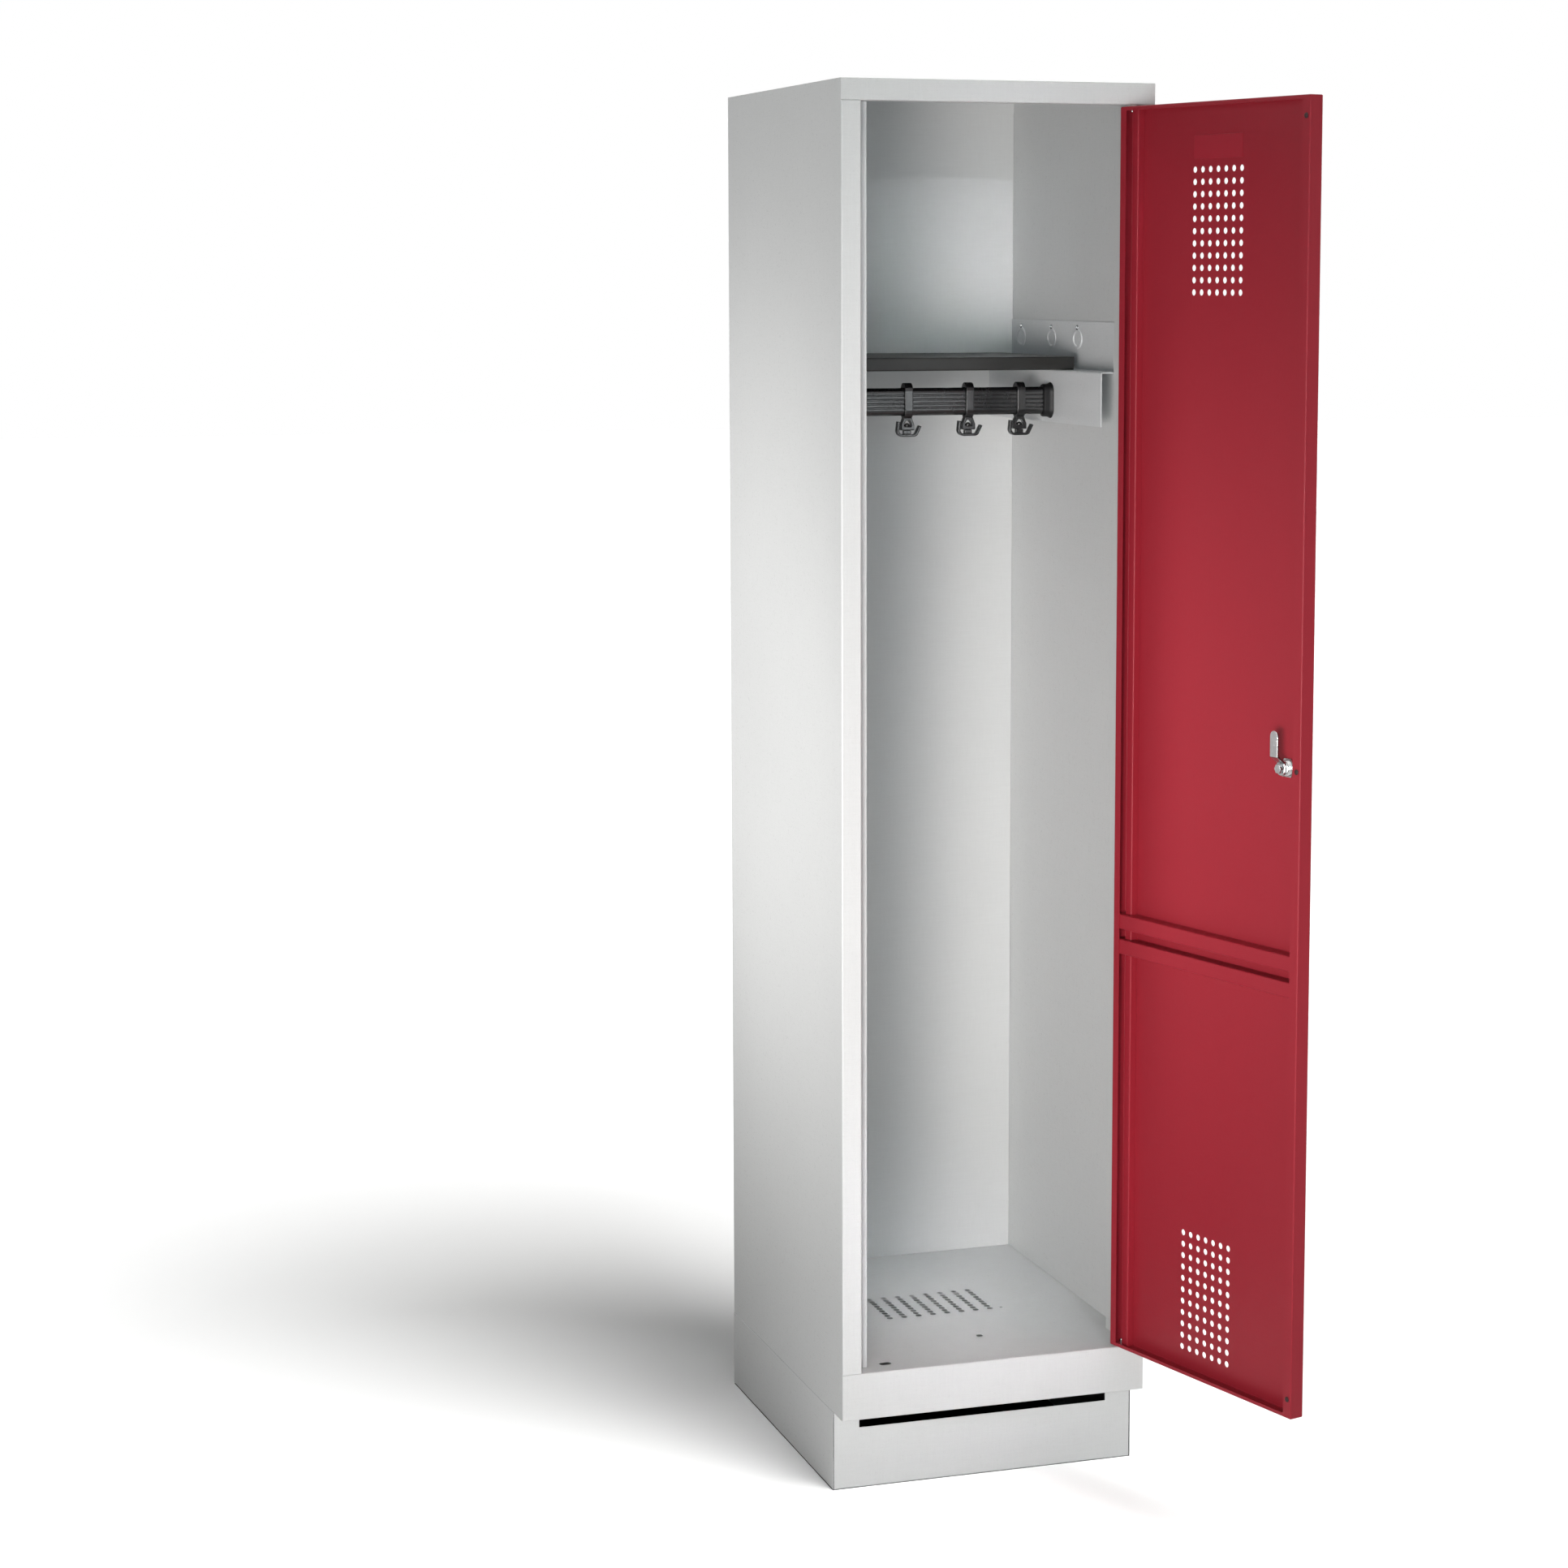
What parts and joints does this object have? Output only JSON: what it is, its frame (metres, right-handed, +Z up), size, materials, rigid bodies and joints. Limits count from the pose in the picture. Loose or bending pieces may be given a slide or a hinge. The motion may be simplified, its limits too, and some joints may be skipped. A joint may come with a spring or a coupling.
{
  "type": "clothing locker",
  "caption": "Tall single clothing locker of folded sheet steel on a slotted plinth, with a vented hinged door, cam lock, hat shelf, and a clothes rail with sliding swivel hooks.",
  "frame": {"origin": "on the floor, in the middle of the rear plinth panel's foot, midway across the width", "axes": "+X to the right as seen from the front, towards the hinges; +Y to the back; +Z up"},
  "size_m": [0.4844, 0.8441, 1.8],
  "materials": {
    "cabinet_paint": "light grey powder coat, satin",
    "door_paint": "ruby red powder coat, satin",
    "shelf_paint": "anthracite powder coat, matt",
    "black_plastic": "black moulded plastic, semi-gloss",
    "zinc_steel": "zinc plated steel",
    "lock_chrome": "bright nickel plate",
    "washer_plastic": "natural plastic",
    "buffer_rubber": "dark rubber"
  },
  "bodies": {
    "cabinet": {"left_side_panel": "cabinet_paint", "right_side_panel": "cabinet_paint", "back_panel": "cabinet_paint", "top_panel": "cabinet_paint", "floor_panel": "cabinet_paint", "plinth_front": "cabinet_paint", "plinth_left": "cabinet_paint", "plinth_right": "cabinet_paint", "plinth_rear": "cabinet_paint", "left_shelf_bracket": "cabinet_paint", "right_shelf_bracket": "cabinet_paint", "left_bracket_screw_1": "zinc_steel", "left_bracket_screw_2": "zinc_steel", "left_bracket_screw_3": "zinc_steel", "right_bracket_screw_1": "zinc_steel", "right_bracket_screw_2": "zinc_steel", "right_bracket_screw_3": "zinc_steel", "hat_shelf": "shelf_paint", "clothes_rail": "black_plastic", "left_rail_cap": "black_plastic", "right_rail_cap": "black_plastic", "lower_hinge_pin": "zinc_steel", "upper_hinge_pin": "zinc_steel", "lower_hinge_washer": "washer_plastic", "upper_hinge_washer": "washer_plastic"},
    "door": {"door_panel": "door_paint", "hinge_stiffener": "door_paint", "upper_crossbar": "door_paint", "lower_crossbar": "door_paint", "top_door_buffer": "buffer_rubber", "middle_door_buffer": "buffer_rubber", "low_door_buffer": "buffer_rubber", "lock_body": "lock_chrome", "lock_nut": "lock_chrome"},
    "lock_core": {"lock_plug": "lock_chrome", "lock_cam": "lock_chrome", "cam_nut": "lock_chrome"},
    "carrier_1": {"hook_carrier_1": "black_plastic"},
    "carrier_2": {"hook_carrier_2": "black_plastic"},
    "carrier_3": {"hook_carrier_3": "black_plastic"},
    "swivel_hook_1": {"double_hook_1": "black_plastic"},
    "swivel_hook_2": {"double_hook_2": "black_plastic"},
    "swivel_hook_3": {"double_hook_3": "black_plastic"}
  },
  "joints": [
    {"name": "door_hinge", "type": "hinge", "parent": "cabinet", "child": "door", "pos_m": [0.179, -0.47956, 0.9695], "axis": [0, 0, 1], "range_deg": [-105, 7]},
    {"name": "lock_turn", "type": "hinge", "parent": "door", "child": "lock_core", "pos_m": [0.2663, -0.78435, 0.9695], "axis": [0.9659, 0.2588, 0], "range_deg": [0, 90]},
    {"name": "hook_1_slide", "type": "slide", "parent": "cabinet", "child": "carrier_1", "axis": [1, 0, 0], "range_m": [-0.112, 0.022]},
    {"name": "hook_1_swivel", "type": "hinge", "parent": "carrier_1", "child": "swivel_hook_1", "pos_m": [-0.0328, -0.225, 1.355], "axis": [0, 0, 1], "continuous": true},
    {"name": "hook_2_slide", "type": "slide", "parent": "cabinet", "child": "carrier_2", "axis": [1, 0, 0], "range_m": [-0.022, 0.015]},
    {"name": "hook_2_swivel", "type": "hinge", "parent": "carrier_2", "child": "swivel_hook_2", "pos_m": [0.0529, -0.225, 1.355], "axis": [0, 0, 1], "continuous": true},
    {"name": "hook_3_slide", "type": "slide", "parent": "cabinet", "child": "carrier_3", "axis": [1, 0, 0], "range_m": [-0.016, 0.022]},
    {"name": "hook_3_swivel", "type": "hinge", "parent": "carrier_3", "child": "swivel_hook_3", "pos_m": [0.1256, -0.225, 1.355], "axis": [0, 0, 1], "continuous": true}
  ]
}
